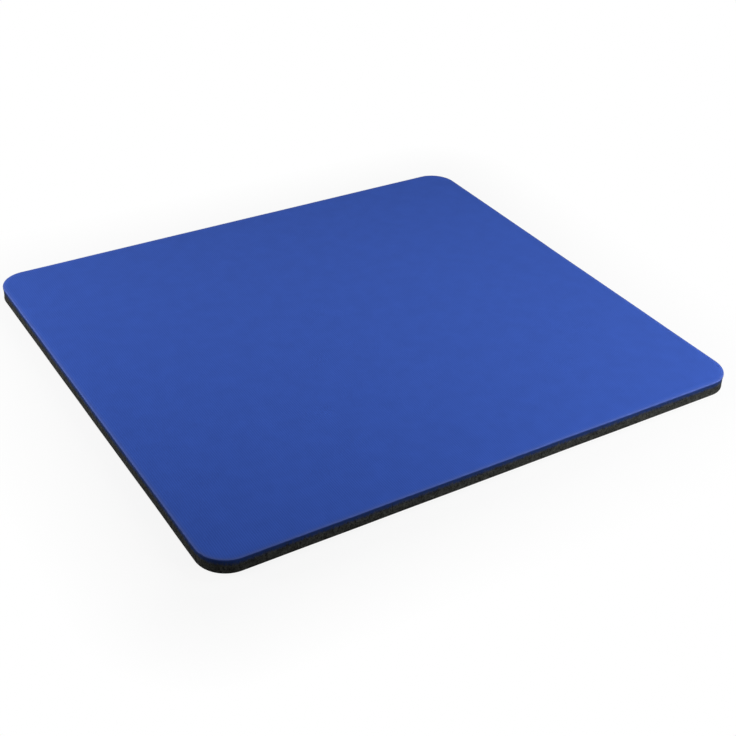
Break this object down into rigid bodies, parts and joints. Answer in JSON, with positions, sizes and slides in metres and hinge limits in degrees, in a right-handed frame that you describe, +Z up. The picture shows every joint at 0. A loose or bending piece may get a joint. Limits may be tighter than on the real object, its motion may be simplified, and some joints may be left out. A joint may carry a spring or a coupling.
{
  "type": "mouse pad",
  "caption": "Flat rectangular mouse pad with rounded corners: knitted cloth top bonded to a foam-rubber base with a die-cut edge, lying on a desk as a sliding surface.",
  "frame": {"origin": "middle of the underside, on the surface that the pad lies on", "axes": "+X along the longer side, +Y along the shorter side away from the user, +Z up out of the cloth"},
  "size_m": [0.22, 0.2, 0.006],
  "materials": {
    "foam_rubber": "matt black closed-cell foam rubber, die-cut edge showing fine cells, fine non-slip grain on the underside",
    "bonding_film": "thin dark hot-melt film, seen only as a line along the cut edge",
    "knitted_cloth": "royal-blue fine-gauge polyester knit, matt with a slight sheen at low angles"
  },
  "bodies": {
    "root": {"foam_base": "foam_rubber", "bond_film": "bonding_film", "cloth_top": "knitted_cloth"}
  },
  "joints": []
}
